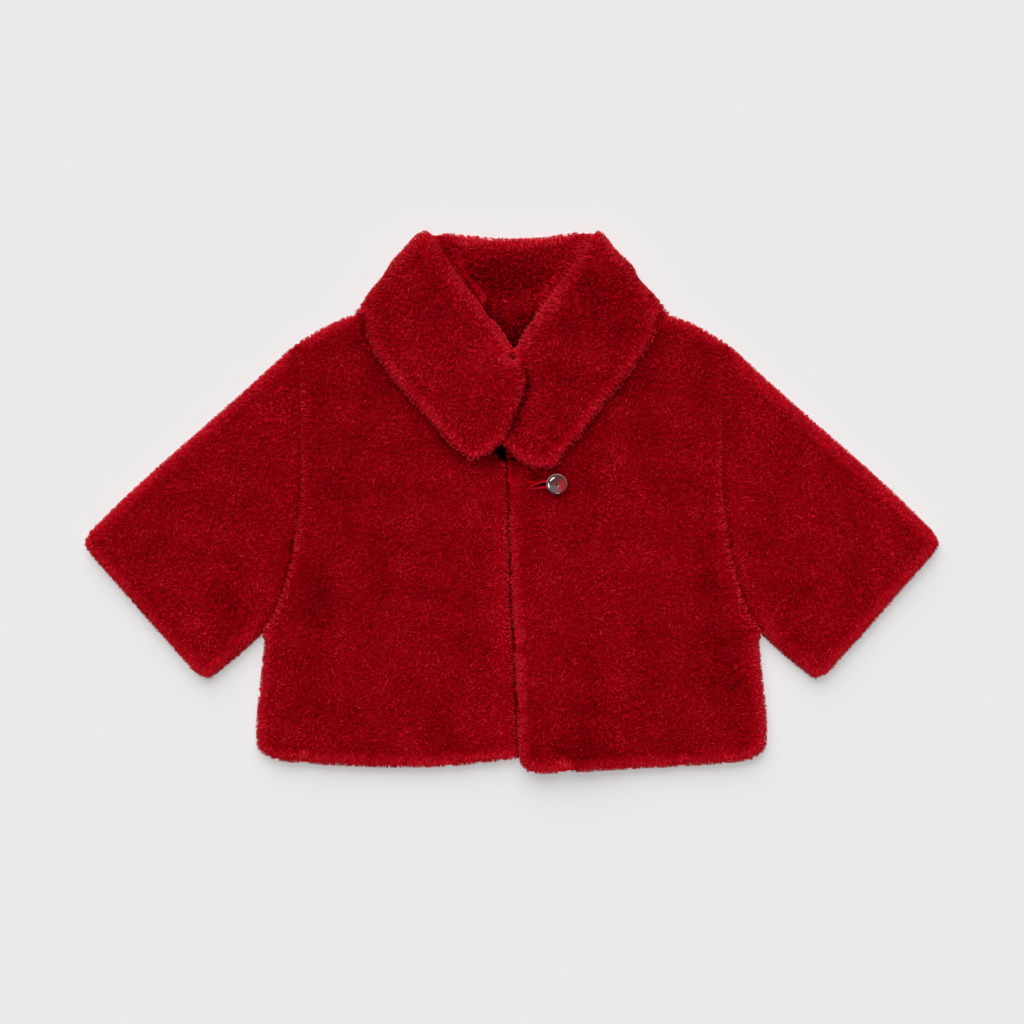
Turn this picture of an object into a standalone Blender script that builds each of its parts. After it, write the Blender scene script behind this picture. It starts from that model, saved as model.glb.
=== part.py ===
"""A cropped plush jacket with one button, buttoned and laid flat on its back.

The frame is in metres, +Z up, with the origin on the floor under the middle of the outline.
+Y points to the collar and +X to the over front. Sizes below are in millimetres.
Each cut piece is a wall of cloth with its pile. The walls lie on each other in layers:
the collar's back leaf, the back, the under front, the over front, and the front leaves.
"""

import math

import bmesh
import bpy
import numpy as np

MM = 0.001
NAME = "plush_shrug"

# Cloth
CLOTH = 5.0  # backing and pile together
LAYER_GAP = 0.8  # between cloths that lie on each other
SEAM_GAP = 0.3  # between cloths that are sewn edge to edge
STEP = CLOTH + LAYER_GAP
RAMP = 70.0  # the length over which a cloth climbs onto what lies under it
EDGE_ROUND = 1.4  # the rounding of every cut edge

# Button and buttonhole
BUTTON_X = 45.0
BUTTON_Y = 17.0
BUTTON_DIAMETER = 21.0
BUTTON_HEIGHT = 4.2
SHANK_DIAMETER = 2.6
BUTTON_FACE = {  # from the bottom of its pin-hole over the dish and the rim to its under side
    "radius_share": (0.0, 0.057, 0.086, 0.45, 0.75, 0.88, 0.96, 1.0, 0.97, 0.75, 0.4),
    "height_share": (0.52, 0.55, 0.71, 0.79, 0.93, 1.0, 0.9, 0.64, 0.33, 0.05, 0.0),
}
SLIT_START_X = 19.0
SLIT_END_X = 48.0
SLIT_WIDTH = 3.6
WELT_MARGIN = 3.0
WELT_THICKNESS = 1.4

# Folds of the collar, as the radius of the middle of the wall
STAND_FOLD = STEP / 2
LEAF_FOLD = 3 * STEP / 2
FOLD_HEIGHT = CLOTH / 2 + 3 * STEP / 2
NECK_CORNER = 4.0  # how far a body panel's neck corner runs out under the stand's fold
SOFT_ROLL = 3.2  # how far the collar stands up along its roll
SOFT_ROLL_REACH = 32.0
FRONT_PUFF_SHARE = 0.5  # the share of a front's roll, from the centre, that stands up fully
BACK_PUFF_SHARE = 0.3  # and of half the roll behind the neck
FOLDED_WALL = 0.68  # the share of the wall that is left where a fold presses it
PINCHED_WALL = 0.4  # and where two folds meet
OPEN_ROLL_STEPS = 3  # steps at the crossing, where the roll stands open and keeps its wall
TUBE_HALF_HEIGHT = CLOTH + LAYER_GAP / 2  # of a flattened sleeve
TUBE_ROUNDING = (0.0, 0.15, 0.5, 1.0)  # where the points of its folds lie, as shares of that height
TUBE_POINT_GAP = 0.004  # the least share of a ring between those points and the next

# The ground that each layer climbs onto
HIDDEN_LEAF_HALF_WIDTH = 146.0
HIDDEN_LEAF_LOW_Y = 158.0
HIDDEN_LEAF_CORNER = 40.0
UNDERLAP_X = 64.0
UNDERLAP_TOP_Y = 92.0
UNDERLAP_MARGIN = 2.0
LEAF_CROSSING_X = -20.0
LEAF_CROSSING_RAMP = 50.0
LEAF_CROSSING_HALF_WIDTH = 14.0

# Steps of the lofts
NECK_STEPS = 12  # along each front's neck seam and each front leaf
BACK_STEPS = 10  # along the back's neck seam
ARMHOLE_STEPS = 15
SIDE_STEPS = 6
SHOULDER_STEPS = 6
FRONT_COLUMNS = 14
SLEEVE_STEPS = 6
FOLD_STEPS = 4
ARMHOLE_CROWDING = 1.1  # over 1 packs the steps towards the shoulder
BACK_HEM_CROWDING = 1.6
CORNER_CROWDING = 0.65  # packs the steps of hems and side seams towards their round corners
STAND_STEPS = 4
ROLL_STEPS = 6
LEAF_STEPS = 8
RELAXING = 30  # passes that even out the cells of a front leaf

# Outlines. x is the distance from the centre line, or signed where it says so, and y is up the garment.
ARMHOLE = {
    "x": (216, 212.5, 211, 211.5, 216, 221.5, 229.5, 236, 243, 251),
    "y": (157.5, 117, 71, 7, -27, -60, -88, -106, -121, -131),
}
SLEEVE_TOP = {"x": (216, 263.5, 318, 372.5, 422), "y": (157.5, 113.5, 65.5, 17.5, -31)}
SLEEVE_UNDER = {"x": (251, 258, 272, 286, 304), "y": (-131, -138, -150.5, -162.5, -176.5)}
CUFF = {
    "x": (422, 428, 419, 398, 356, 323.5, 312, 304),
    "y": (-31, -42.5, -54.5, -78.5, -126.5, -162.5, -174.5, -176.5),
}
SIDE = {"x": (251, 246.5, 248.5, 252.5, 255.5, 253), "y": (-131, -140, -156, -196, -233, -249)}
SHOULDER = {"x": (216, 189, 168, 155, 143, 116, 92), "y": (157.5, 173, 182.5, 185.5, 181.5, 195, 211.5)}
BACK_HEM = {"x": (253, 240, 190, 110, 50, 0), "y": (-243, -251, -256.5, -259.5, -257.5, -253.5)}
UNDER_HEM = {
    "signed_x": (-253, -239, -211, -151, -111, -51, -11, 20, UNDERLAP_X),
    "y": (-249, -257.5, -261, -264.5, -265.5, -263.5, -258.5, -254.5, -253.5),
}
OVER_HEM = {
    "signed_x": (253, 240, 209, 149, 89, 49, 25, 14, 8.5),
    "y": (-249, -257.5, -261.5, -265.5, -268.5, -270.3, -271, -268.5, -258),
}
FRONT_NECK = {"x": (88, 80, 66, 45, 22, 6), "y": (212, 187, 157, 127, 106, 98)}
BACK_NECK = {"x": (88, 62, 32, 0), "y": (212, 198, 190.5, 188.5)}
UNDERLAP_EDGE = {"signed_x": (-6, 24, 54, 63, UNDERLAP_X, UNDERLAP_X), "y": (97.7, 93, 91, 82, 20, -253.5)}
OVER_EDGE = {"signed_x": (6, -3, -3, -1, 1, 5, 8.5), "y": (97.7, 70, 18.5, -25.5, -90.5, -177.5, -258)}

# The collar. Its roll is where the stand turns over into the leaf.
FRONT_ROLL = {"x": (5, 17.5, 36, 53, 67, 78, 83), "y": (145, 164.5, 189, 210.5, 231, 253.5, 262.3)}
BACK_ROLL = {"x": (83, 72, 55, 28, 0), "y": (262.3, 265.6, 263, 258.5, 257)}
LEAF_SIDE = {"x": (83, 97.5, 111, 129, 144), "y": (262.3, 254, 238, 211, 185)}
BACK_LEAF_EDGE = {"x": (144, 132, 95, 48, 0), "y": (185, 173, 166, 164, 163.5)}
LEFT_LEAF_END = {"signed_x": (-5, 5, 12.5, 14, 11, 3, -9), "y": (145, 136, 126, 117, 105, 87, 59)}
LEFT_LEAF_EDGE = {
    "signed_x": (-9, -21, -36, -54, -76, -99, -121, -137, -144, -144),
    "y": (59, 49, 39.5, 51.5, 73.5, 99.5, 125.5, 150, 168, 185),
}
RIGHT_LEAF_END = {"signed_x": (5, 0, -5, -8, -7), "y": (145, 132, 100, 66, 54)}
RIGHT_LEAF_EDGE = {
    "signed_x": (-7, 9, 27, 43, 48, 68, 89, 113, 133, 143, 144),
    "y": (54, 38.5, 32, 32, 43.5, 65.5, 93.5, 121.5, 150, 168, 185),
}


def spline(table, steps, crowding=1.0, end_crowding=0.0):
    """Evenly spaced points on a smooth curve through a table's rows.

    A crowding over 1 packs them at its start, and an end_crowding from 0 to 1 at both of its ends.
    """
    knots = np.array(list(table.values()), dtype=float).T
    chords = np.linalg.norm(np.diff(knots, axis=0), axis=1)
    at = np.concatenate(([0.0], np.cumsum(np.sqrt(chords))))
    slopes = np.gradient(knots, at, axis=0)
    fine = np.linspace(0.0, at[-1], 40 * len(at))
    left = np.clip(np.searchsorted(at, fine, side="right") - 1, 0, len(at) - 2)
    width = at[left + 1] - at[left]
    t = ((fine - at[left]) / width)[:, None]
    width = width[:, None]
    curve = (
        (2 * t**3 - 3 * t**2 + 1) * knots[left]
        + (t**3 - 2 * t**2 + t) * width * slopes[left]
        + (3 * t**2 - 2 * t**3) * knots[left + 1]
        + (t**3 - t**2) * width * slopes[left + 1]
    )
    run = np.concatenate(([0.0], np.cumsum(np.linalg.norm(np.diff(curve, axis=0), axis=1))))
    even = np.linspace(0.0, 1.0, steps + 1)
    wanted = run[-1] * (even - end_crowding * np.sin(2 * np.pi * even) / (2 * np.pi)) ** crowding
    return np.column_stack([np.interp(wanted, run, curve[:, axis]) for axis in (0, 1)])


def shares(points):
    """How far along an edge each of its points lies, from 0 to 1."""
    run = np.concatenate(([0.0], np.cumsum(np.linalg.norm(np.diff(points, axis=0), axis=1))))
    return run / run[-1]


def patch(top, bottom, left, right):
    """Rows of points, from top to bottom, that fill four edges which meet at their ends."""
    u = ((shares(top) + shares(bottom)) / 2)[None, :, None]
    v = ((shares(left) + shares(right)) / 2)[:, None, None]
    edges = (1 - v) * top[None] + v * bottom[None] + (1 - u) * left[:, None] + u * right[:, None]
    corners = (1 - v) * ((1 - u) * top[0] + u * top[-1]) + v * ((1 - u) * bottom[0] + u * bottom[-1])
    return edges - corners


def relaxed(grid, passes):
    """The grid with each inner point drawn between its four neighbours, which evens out bent cells."""
    for _ in range(passes):
        grid[1:-1, 1:-1] = (grid[:-2, 1:-1] + grid[2:, 1:-1] + grid[1:-1, :-2] + grid[1:-1, 2:]) / 4
    return grid


def offset(points, distance):
    """The points of an edge, moved sideways to the right of its direction."""
    along = np.gradient(points, axis=0)
    along /= np.linalg.norm(along, axis=1)[:, None]
    return points + distance * np.column_stack((along[:, 1], -along[:, 0]))


def mirrored(points, side):
    """The points on the side of the centre line that side (-1 or 1) gives."""
    return points * (side, 1)


def from_side_to_side(half):
    """A half edge, from its side to the centre line, made whole: from left to right."""
    return np.concatenate((mirrored(half, -1), half[::-1][1:]))


def fade(distance, width):
    """1 up to a distance of 0, then down to 0 at the width."""
    t = np.clip(distance / width, 0.0, 1.0)
    return 1 - t * t * (3 - 2 * t)


def over_hidden_leaf(x, y):
    """1 over the back leaf of the collar, which lies on the floor, and 0 away from it."""
    across = np.maximum(np.abs(x) - (HIDDEN_LEAF_HALF_WIDTH - HIDDEN_LEAF_CORNER), 0)
    down = np.maximum(HIDDEN_LEAF_LOW_Y + HIDDEN_LEAF_CORNER - y, 0)
    return fade(np.hypot(across, down) - HIDDEN_LEAF_CORNER, RAMP)


def over_underlap(x, y):
    """1 over the strip of the under front that runs on behind the over front."""
    across = np.maximum(x - UNDERLAP_X - UNDERLAP_MARGIN, 0)
    up = np.maximum(y - UNDERLAP_TOP_Y - UNDERLAP_MARGIN, 0)
    return fade(np.hypot(across, up), RAMP)


def back_height(x, y):
    return CLOTH / 2 + STEP * over_hidden_leaf(x, y)


def front_height(x, y, side):
    """The under front lies on the back, and the over front on both."""
    climb = over_underlap(x, y) if side > 0 else 0.0
    return back_height(x, y) + STEP * (1 + climb)


def leaf_height(x, y, side):
    """The over front's leaf lies on that front, and the under front's leaf crosses over it."""
    if side > 0:
        return front_height(x, y, side) + STEP
    crossing = fade(LEAF_CROSSING_X - x, LEAF_CROSSING_RAMP)
    return back_height(x, y) + STEP * (2 + crossing * (1 + over_underlap(x, y)))


def lifted(plan, heights):
    return np.concatenate((plan, heights[..., None]), axis=-1)


def unit(vectors):
    return vectors / np.linalg.norm(vectors, axis=-1, keepdims=True)


def material(name, colour, roughness, metallic=0.0):
    made = bpy.data.materials.new(name)
    made.use_nodes = True
    shader = made.node_tree.nodes["Principled BSDF"]
    shader.inputs["Base Color"].default_value = (*colour, 1.0)
    shader.inputs["Roughness"].default_value = roughness
    shader.inputs["Metallic"].default_value = metallic
    return made


def keep(made, name, surface, collection):
    """Names an object, gives it its material and puts it in the garment's collection."""
    made.name = name
    made.data.name = name
    made.data.materials.append(surface)
    for place in list(made.users_collection):
        place.objects.unlink(made)
    collection.objects.link(made)
    return made


def sheet(points):
    """A surface through rows of points, from a grid, with its faces towards +Z where it lies flat."""
    rows, columns = points.shape[:2]
    bpy.ops.mesh.primitive_grid_add(x_subdivisions=columns - 1, y_subdivisions=rows - 1)
    made = bpy.context.object
    upwards = points[::-1]  # a grid's rows run from -Y to +Y
    made.data.vertices.foreach_set("co", (upwards * MM).reshape(-1))
    made.data.update()
    return made


def as_cloth(made, rounding_steps=1, shares_of_wall=None):
    """The surface thickened to both sides, with rounded cut edges.

    Tight folds may have a share of the wall, given for each point.
    """
    wall = made.modifiers.new("wall", "SOLIDIFY")
    if shares_of_wall is not None:
        group = made.vertex_groups.new(name="wall")
        for index, share in enumerate(shares_of_wall.reshape(-1)):
            group.add([index], share, "REPLACE")
        wall.vertex_group = group.name
    wall.thickness = CLOTH * MM
    wall.offset = 0.0
    edge = made.modifiers.new("edge", "BEVEL")
    edge.width = EDGE_ROUND * MM
    edge.segments = rounding_steps
    edge.limit_method = "ANGLE"
    edge.angle_limit = math.radians(72)
    made.data.shade_smooth()
    return made


def armhole(side):
    return mirrored(spline(ARMHOLE, ARMHOLE_STEPS, ARMHOLE_CROWDING), side)


def body_side(side, hem_corner):
    """The edge of a body panel from the shoulder down the armhole and the side seam to the hem."""
    seam = offset(armhole(side), side * SEAM_GAP)
    below = dict(SIDE)
    below["y"] = (*SIDE["y"][:-1], hem_corner)
    lower = mirrored(spline(below, SIDE_STEPS, 1.0, CORNER_CROWDING), side)
    lower[0] = seam[-1]
    return np.concatenate((seam, lower[1:]))


def neck_seam(side):
    """A front's neck seam on the collar's side of the gap, from the shoulder to the centre front."""
    return mirrored(spline(FRONT_NECK, NECK_STEPS), side)


def front_roll(side):
    return mirrored(spline(FRONT_ROLL, NECK_STEPS)[::-1], side)


def back_edge(table):
    """An edge of the collar behind the neck, from left to right."""
    return from_side_to_side(spline(table, BACK_STEPS // 2))


def panel_below(seam, roll):
    """A neck seam's points moved off the stand by the seam's gap."""
    return seam + SEAM_GAP * unit(seam - roll)


def shoulder(side, steps, start, end):
    """A panel's shoulder edge, from the armhole to the neck."""
    edge = mirrored(spline(SHOULDER, steps), side)
    edge[0] = start
    edge[-1] = end
    return edge


def back(collection, surface):
    neck = panel_below(back_edge(BACK_NECK), back_edge(BACK_ROLL))
    neck[0] -= (NECK_CORNER, 0.0)
    neck[-1] += (NECK_CORNER, 0.0)
    left = body_side(-1, BACK_HEM["y"][0])
    right = body_side(1, BACK_HEM["y"][0])
    left_shoulder = shoulder(-1, SHOULDER_STEPS, left[0], neck[0])
    right_shoulder = shoulder(1, SHOULDER_STEPS, right[0], neck[-1])
    top = np.concatenate((left_shoulder, neck[1:], right_shoulder[::-1][1:]))
    hem = from_side_to_side(spline(BACK_HEM, len(top) // 2, BACK_HEM_CROWDING))
    hem[0] = left[-1]
    hem[-1] = right[-1]
    plan = patch(top, hem, left, right)
    made = sheet(lifted(plan, back_height(plan[..., 0], plan[..., 1])))
    return as_cloth(keep(made, "back", surface, collection))


def front(side, name, edge, hem, collection, surface):
    """A front from the armhole to its free edge; side is -1 for the under front and 1 for the over front."""
    outer = body_side(side, hem["y"][0])
    neck = panel_below(neck_seam(side), front_roll(side))
    neck[0] += (side * NECK_CORNER, 0.0)
    free = spline(edge, ARMHOLE_STEPS + SIDE_STEPS - NECK_STEPS)
    free[0] = neck[-1]
    inner = np.concatenate((neck, free[1:]))
    top = shoulder(side, FRONT_COLUMNS, outer[0], inner[0])
    low = spline(hem, FRONT_COLUMNS, 1.0, CORNER_CROWDING)
    low[0] = outer[-1]
    low[-1] = inner[-1]
    plan = patch(top, low, outer, inner)
    if side > 0:
        plan = plan[:, ::-1]
    made = sheet(lifted(plan, front_height(plan[..., 0], plan[..., 1], side)))
    return as_cloth(keep(made, name, surface, collection))


def sleeve(side, name, collection, surface):
    """A flattened tube. Each ring runs along the top layer, round the under fold and back below.

    The tube starts as a ring whose rows go along its outer face to the cuff and back along its inner face.
    """
    over = spline(SLEEVE_TOP, SLEEVE_STEPS)
    under = spline(SLEEVE_UNDER, SLEEVE_STEPS)
    plan = patch(over, under, spline(ARMHOLE, ARMHOLE_STEPS, ARMHOLE_CROWDING), spline(CUFF, ARMHOLE_STEPS))
    faces = ((plan, 0.0, TUBE_HALF_HEIGHT), (plan[:, ::-1], CLOTH, LAYER_GAP / 2))
    normals = (offset(over, -1.0) - over, offset(under, 1.0) - under)
    rows = []
    for points, inset, half_height in faces:
        for station in range(SLEEVE_STEPS + 1):
            line = points[:, station]
            at = station if inset == 0.0 else SLEEVE_STEPS - station
            rows.append(flattened_ring(line, normals[0][at], normals[1][at], inset, half_height))
    rings = np.array(rows) * (side, 1, 1)
    count, around = rings.shape[:2]
    bpy.ops.mesh.primitive_torus_add(major_segments=count, minor_segments=around)
    made = bpy.context.object
    made.data.vertices.foreach_set("co", (rings * MM).reshape(-1))
    if side > 0:
        made.data.flip_normals()
    made.data.update()
    made.data.shade_smooth()
    return keep(made, name, surface, collection)


def flattened_ring(line, over_normal, under_normal, inset, half_height):
    """A ring's points round a flattened section: inset from both folds and with its own half height."""
    run = shares(line)
    from_over = (line[0] - line) @ over_normal
    from_under = (line[-1] - line) @ under_normal
    rounding = np.array(TUBE_ROUNDING)
    deep = inset + (TUBE_HALF_HEIGHT - inset) * rounding
    first = np.interp(deep, from_over, run)
    last = np.interp(deep, from_under[::-1], run[::-1])
    middle = np.clip(run[1:-1], first[-1] + TUBE_POINT_GAP, last[-1] - TUBE_POINT_GAP)
    at = np.concatenate((first, middle, last[::-1]))
    rise = half_height * np.sqrt(1 - (1 - rounding) ** 2)
    heights = np.concatenate((rise, np.full(len(middle), half_height), rise[::-1]))
    plan = np.column_stack([np.interp(at, run, line[:, axis]) for axis in (0, 1)])
    top = lifted(plan, TUBE_HALF_HEIGHT + heights)
    below = lifted(plan, TUBE_HALF_HEIGHT - heights)
    return np.concatenate((top, below[1:-1][::-1]))


def straight(starts, ends, steps):
    """Rows of points from each start to its end."""
    t = np.linspace(0.0, 1.0, steps + 1)[None, :, None]
    return starts[:, None] * (1 - t) + ends[:, None] * t


def roll_between(stand, leaf, bulge=None):
    """The points of the turn from the end of the stand to the start of the leaf.

    It bulges the way that both walls point, or squarely off the roll line where bulge gives that way.
    """
    start = stand[:, -1]
    end = leaf[:, 0]
    out = unit(stand[:, -1] - stand[:, -2]) if bulge is None else bulge
    back_in = unit(leaf[:, 1] - leaf[:, 0]) if bulge is None else -bulge
    turn = np.arccos(np.clip((out * back_in).sum(-1), -1, 1))
    chord = np.linalg.norm(end - start, axis=-1)
    reach = (4 / 3 * np.tan(turn / 4) * chord / (2 * np.sin(turn / 2)))[:, None]
    t = np.linspace(0.0, 1.0, ROLL_STEPS + 1)[1:-1]
    return np.stack(
        [
            (1 - a) ** 3 * start
            + 3 * (1 - a) ** 2 * a * (start + reach * out)
            + 3 * (1 - a) * a**2 * (end - reach * back_in)
            + a**3 * end
            for a in t
        ],
        axis=1,
    )


def front_sections(side, leaf_end, leaf_edge):
    """Sections of the collar on one front, from the centre front to the side."""
    seam = neck_seam(side)[::-1]
    roll = front_roll(side)[::-1]
    stand = straight(seam, roll, STAND_STEPS)
    side_line = mirrored(spline(LEAF_SIDE, LEAF_STEPS), side)
    plan = patch(roll, spline(leaf_edge, NECK_STEPS), spline(leaf_end, LEAF_STEPS), side_line)
    plan = relaxed(plan, RELAXING).transpose(1, 0, 2)
    away = np.linalg.norm(plan - plan[:, :1], axis=-1)
    along = np.linspace(0.0, 1.0, NECK_STEPS + 1)[:, None]
    clear_of_v = 1 - fade(np.abs(plan[..., 0]) - LEAF_CROSSING_HALF_WIDTH, LEAF_CROSSING_RAMP)
    towards_side = fade(along - FRONT_PUFF_SHARE, 1 - FRONT_PUFF_SHARE)
    puff = SOFT_ROLL * clear_of_v * fade(away, SOFT_ROLL_REACH) * towards_side
    stand = lifted(stand, front_height(stand[..., 0], stand[..., 1], side))
    leaf = lifted(plan, leaf_height(plan[..., 0], plan[..., 1], side) + puff)
    bulge = lifted(offset(roll, side * -1.0) - roll, np.zeros(len(roll)))
    return np.concatenate((stand, roll_between(stand, leaf, bulge), leaf), axis=1)


def side_sections(side):
    """Sections round the fold at the neck's side, from the front down to the back, without its ends."""
    stand_line = straight(neck_seam(side)[:1], front_roll(side)[:1], STAND_STEPS)[0]
    leaf_line = mirrored(spline(LEAF_SIDE, LEAF_STEPS), side)
    sections = []
    for angle in np.linspace(math.pi / 2, -math.pi / 2, FOLD_STEPS + 1)[1:-1]:
        walls = []
        for line, radius in ((stand_line, STAND_FOLD), (leaf_line, LEAF_FOLD)):
            outwards = offset(line, 1.0) - line
            outwards *= np.sign(outwards[:, :1] * side)
            plan = line + radius * math.cos(angle) * outwards
            walls.append(lifted(plan, np.full(len(plan), FOLD_HEIGHT + radius * math.sin(angle)))[None])
        stand, leaf = walls
        sections.append(np.concatenate((stand, roll_between(stand, leaf), leaf), axis=1)[0])
    return np.array(sections)


def back_sections():
    """Sections of the collar behind the neck, from left to right: the stand above, the leaf on the floor."""
    roll = back_edge(BACK_ROLL)
    stand = straight(back_edge(BACK_NECK), roll, STAND_STEPS)
    side_line = spline(LEAF_SIDE, LEAF_STEPS)
    plan = patch(roll, back_edge(BACK_LEAF_EDGE), mirrored(side_line, -1), side_line).transpose(1, 0, 2)
    away = np.linalg.norm(stand - stand[:, -1:], axis=-1)
    along = np.abs(np.linspace(-1.0, 1.0, BACK_STEPS + 1))[:, None]
    puff = SOFT_ROLL * fade(away, SOFT_ROLL_REACH) * fade(along - BACK_PUFF_SHARE, 1 - BACK_PUFF_SHARE)
    stand = lifted(stand, back_height(stand[..., 0], stand[..., 1]) + puff)
    leaf = lifted(plan, np.full(plan.shape[:2], CLOTH / 2))
    return np.concatenate((stand, roll_between(stand, leaf), leaf), axis=1)


def collar(collection, surface):
    """One wall from end to end: up the left front, round the neck and down the right front."""
    left = front_sections(-1, LEFT_LEAF_END, LEFT_LEAF_EDGE)
    right = front_sections(1, RIGHT_LEAF_END, RIGHT_LEAF_EDGE)
    sections = np.concatenate(
        (left, side_sections(-1), back_sections(), side_sections(1)[::-1], right[::-1])
    )
    wall = np.ones(sections.shape[:2])
    roll = slice(STAND_STEPS, STAND_STEPS + ROLL_STEPS + 1)
    wall[:, roll] = FOLDED_WALL
    for start in (NECK_STEPS, NECK_STEPS + FOLD_STEPS + BACK_STEPS):
        fold = slice(start, start + FOLD_STEPS + 1)
        wall[fold, : STAND_STEPS] = FOLDED_WALL
        wall[fold, roll] = PINCHED_WALL
    wall[:OPEN_ROLL_STEPS, roll] = 1.0
    made = sheet(sections.transpose(1, 0, 2))
    return as_cloth(keep(made, "collar", surface, collection), 2, wall.T[::-1])


def slit_outline(margin):
    """A long hole's outline with round ends, as points counterclockwise."""
    radius = SLIT_WIDTH / 2 + margin
    turns = np.linspace(-math.pi / 2, math.pi / 2, 7)
    right = [(SLIT_END_X + radius * math.cos(a), BUTTON_Y + radius * math.sin(a)) for a in turns]
    left = [(SLIT_START_X - radius * math.cos(a), BUTTON_Y - radius * math.sin(a)) for a in turns]
    return right + left


def flat_piece(name, outlines, low, high):
    """A flat piece between two heights from a filled outline with its holes."""
    curve = bpy.data.curves.new(name, "CURVE")
    curve.dimensions = "2D"
    curve.fill_mode = "BOTH"
    curve.extrude = (high - low) / 2 * MM
    for outline in outlines:
        loop = curve.splines.new("POLY")
        loop.points.add(len(outline) - 1)
        loop.use_cyclic_u = True
        for point, (x, y) in zip(loop.points, outline):
            point.co = (x * MM, y * MM, 0.0, 1.0)
    made = bpy.data.objects.new(name, curve)
    made.location.z = (high + low) / 2 * MM
    bpy.context.scene.collection.objects.link(made)
    return made


def as_mesh(made):
    """A filled curve as one closed mesh at the same place."""
    evaluated = made.evaluated_get(bpy.context.evaluated_depsgraph_get())
    mesh = bpy.data.meshes.new_from_object(evaluated)
    shape = bmesh.new()
    shape.from_mesh(mesh)
    bmesh.ops.remove_doubles(shape, verts=shape.verts, dist=1e-6)
    bmesh.ops.recalc_face_normals(shape, faces=shape.faces)
    shape.to_mesh(mesh)
    shape.free()
    solid = bpy.data.objects.new(made.name, mesh)
    solid.matrix_world = made.matrix_world
    bpy.context.scene.collection.objects.link(solid)
    bpy.data.objects.remove(made)
    return solid


def cut_slit(panel, cutters):
    """The buttonhole through the over front."""
    top = 3 * STEP + CLOTH
    cutter = as_mesh(flat_piece("slit_cutter", [slit_outline(0.0)], STEP, top))
    for place in list(cutter.users_collection):
        place.objects.unlink(cutter)
    cutters.objects.link(cutter)
    cutter.hide_render = True
    cutter.display_type = "WIRE"
    cut = panel.modifiers.new("buttonhole", "BOOLEAN")
    cut.operation = "DIFFERENCE"
    cut.object = cutter


def over_front_top():
    """The height of the over front's upper face at the buttonhole."""
    return float(front_height(np.array(BUTTON_X), np.array(BUTTON_Y), 1)) + CLOTH / 2


def welt(collection, surface):
    low = over_front_top() + SEAM_GAP
    outlines = [slit_outline(WELT_MARGIN), slit_outline(0.0)]
    made = as_mesh(flat_piece("buttonhole_welt", outlines, low, low + WELT_THICKNESS))
    return keep(made, "buttonhole_welt", surface, collection)


def button(collection, surface):
    """A turned, dished button; its shank goes through the buttonhole to the under front."""
    radius = BUTTON_DIAMETER / 2
    shank = SHANK_DIAMETER / 2
    base = over_front_top() + WELT_THICKNESS + 2 * SEAM_GAP
    foot = float(front_height(np.array(BUTTON_X), np.array(BUTTON_Y), -1)) + CLOTH / 2 + SEAM_GAP
    face = zip(BUTTON_FACE["radius_share"], BUTTON_FACE["height_share"])
    profile = [(radius * across, base + BUTTON_HEIGHT * up) for across, up in face]
    profile += [(shank, base), (shank, foot), (0.0, foot)]
    edges = [(i, i + 1) for i in range(len(profile) - 1)]
    mesh = bpy.data.meshes.new("button")
    mesh.from_pydata([(r * MM, 0.0, z * MM) for r, z in profile], edges, [])
    made = bpy.data.objects.new("button", mesh)
    bpy.context.scene.collection.objects.link(made)
    made.location = (BUTTON_X * MM, BUTTON_Y * MM, 0.0)
    turned = made.modifiers.new("turned", "SCREW")
    turned.steps = 32
    turned.render_steps = 32
    turned.use_merge_vertices = True
    turned.merge_threshold = 0.00001
    return keep(made, "button", surface, collection)


def build():
    for old in list(bpy.data.objects):
        bpy.data.objects.remove(old)
    garment = bpy.data.collections.new(NAME)
    cutters = bpy.data.collections.new("cutters")
    for made in (garment, cutters):
        bpy.context.scene.collection.children.link(made)
    red = (0.23, 0.002, 0.005)
    plush = {name: material(name, red, 0.95) for name in ("back", "front", "sleeve", "collar")}
    satin = material("welt", (0.25, 0.003, 0.006), 0.5)
    resin = material("resin", (0.12, 0.05, 0.05), 0.12)
    back(garment, plush["back"])
    front(-1, "front_under", UNDERLAP_EDGE, UNDER_HEM, garment, plush["front"])
    over = front(1, "front_over", OVER_EDGE, OVER_HEM, garment, plush["front"])
    cut_slit(over, cutters)
    sleeve(-1, "sleeve_left", garment, plush["sleeve"])
    sleeve(1, "sleeve_right", garment, plush["sleeve"])
    collar(garment, plush["collar"])
    welt(garment, satin)
    button(garment, resin)


build()
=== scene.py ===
import math

import bpy
import numpy as np
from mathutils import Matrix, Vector, kdtree
from mathutils.bvhtree import BVHTree


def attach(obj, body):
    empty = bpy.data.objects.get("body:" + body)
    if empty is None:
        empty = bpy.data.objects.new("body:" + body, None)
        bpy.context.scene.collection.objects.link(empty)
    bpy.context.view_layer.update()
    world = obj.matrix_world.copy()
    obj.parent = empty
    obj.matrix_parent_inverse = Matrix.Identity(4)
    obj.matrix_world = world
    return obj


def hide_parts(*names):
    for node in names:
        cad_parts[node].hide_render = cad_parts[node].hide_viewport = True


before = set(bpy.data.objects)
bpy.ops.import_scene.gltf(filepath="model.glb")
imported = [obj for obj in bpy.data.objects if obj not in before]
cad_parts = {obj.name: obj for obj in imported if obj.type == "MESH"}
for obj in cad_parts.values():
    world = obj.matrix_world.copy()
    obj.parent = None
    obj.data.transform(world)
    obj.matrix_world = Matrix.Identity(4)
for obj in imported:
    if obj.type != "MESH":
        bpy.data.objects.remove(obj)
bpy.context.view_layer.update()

# ---------------------------------------------------------------------------------------------
# Back
# One cut of red plush on the fold: a knitted backing with a dense, curled pile about 6 mm long.
# It lies on the floor under everything else, so only its rim and the spot inside the neck show.
# ---------------------------------------------------------------------------------------------
MM = 0.001
ABOVE = 0.1  # m, higher than all of the garment
VOXEL = 3.0  # mm, the cell of the cloth's surface
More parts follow.
